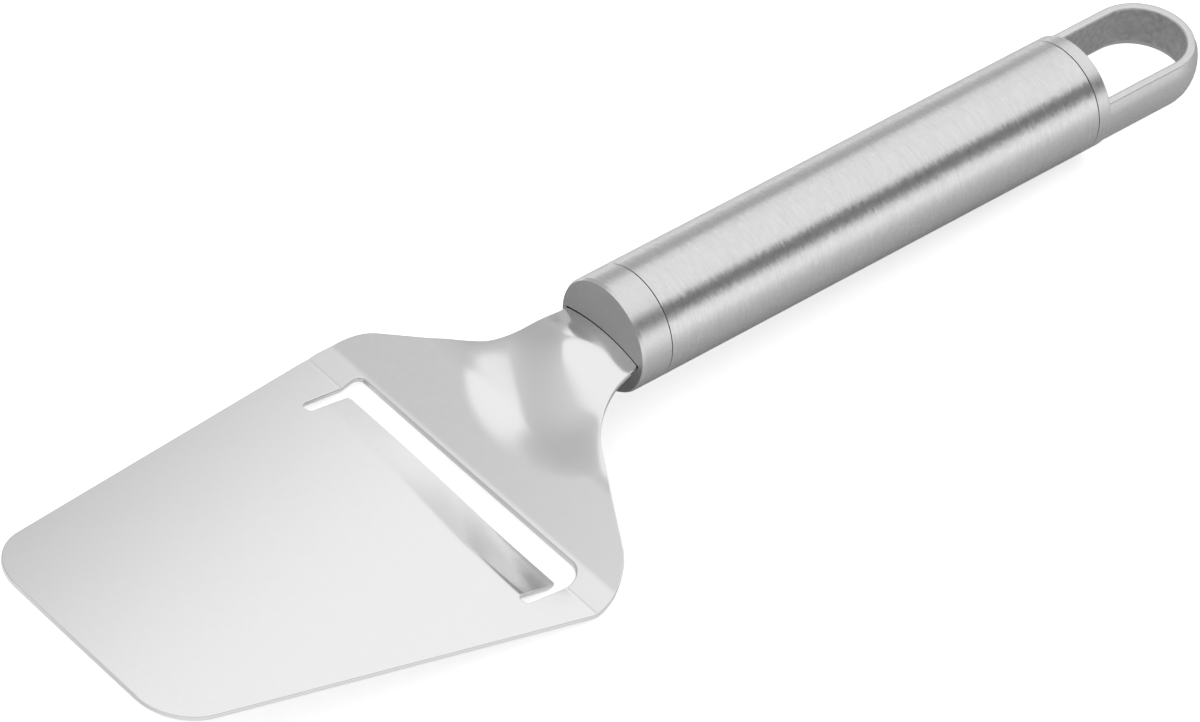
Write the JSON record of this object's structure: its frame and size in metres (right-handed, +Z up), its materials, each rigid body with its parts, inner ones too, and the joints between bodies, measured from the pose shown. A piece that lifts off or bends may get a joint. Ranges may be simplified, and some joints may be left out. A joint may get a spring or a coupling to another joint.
{
  "type": "cheese slicer",
  "caption": "Stainless cheese slicer: a flat stamped blade with a cross slot and raised neck, held in the cap of a round tube handle that ends in a hanging loop.",
  "frame": {"origin": "middle of the bounding box, on the table that the slicer lies on", "axes": "+X from the blade's front edge to the hanging loop, +Y to the left when looking along +X, +Z up"},
  "size_m": [0.2418, 0.0734, 0.0265],
  "materials": {
    "blade_steel": "polished sheet with fine grain",
    "cap_steel": "satin, turned",
    "tube_steel": "brushed around the tube",
    "weld_steel": "dull weld",
    "braze_metal": "dull brazing metal"
  },
  "bodies": {
    "root": {"blade": "blade_steel", "front_cap": "cap_steel", "handle_tube": "tube_steel", "rear_cap": "cap_steel", "tang_weld": "weld_steel", "front_braze": "braze_metal", "rear_braze": "braze_metal"}
  },
  "joints": []
}
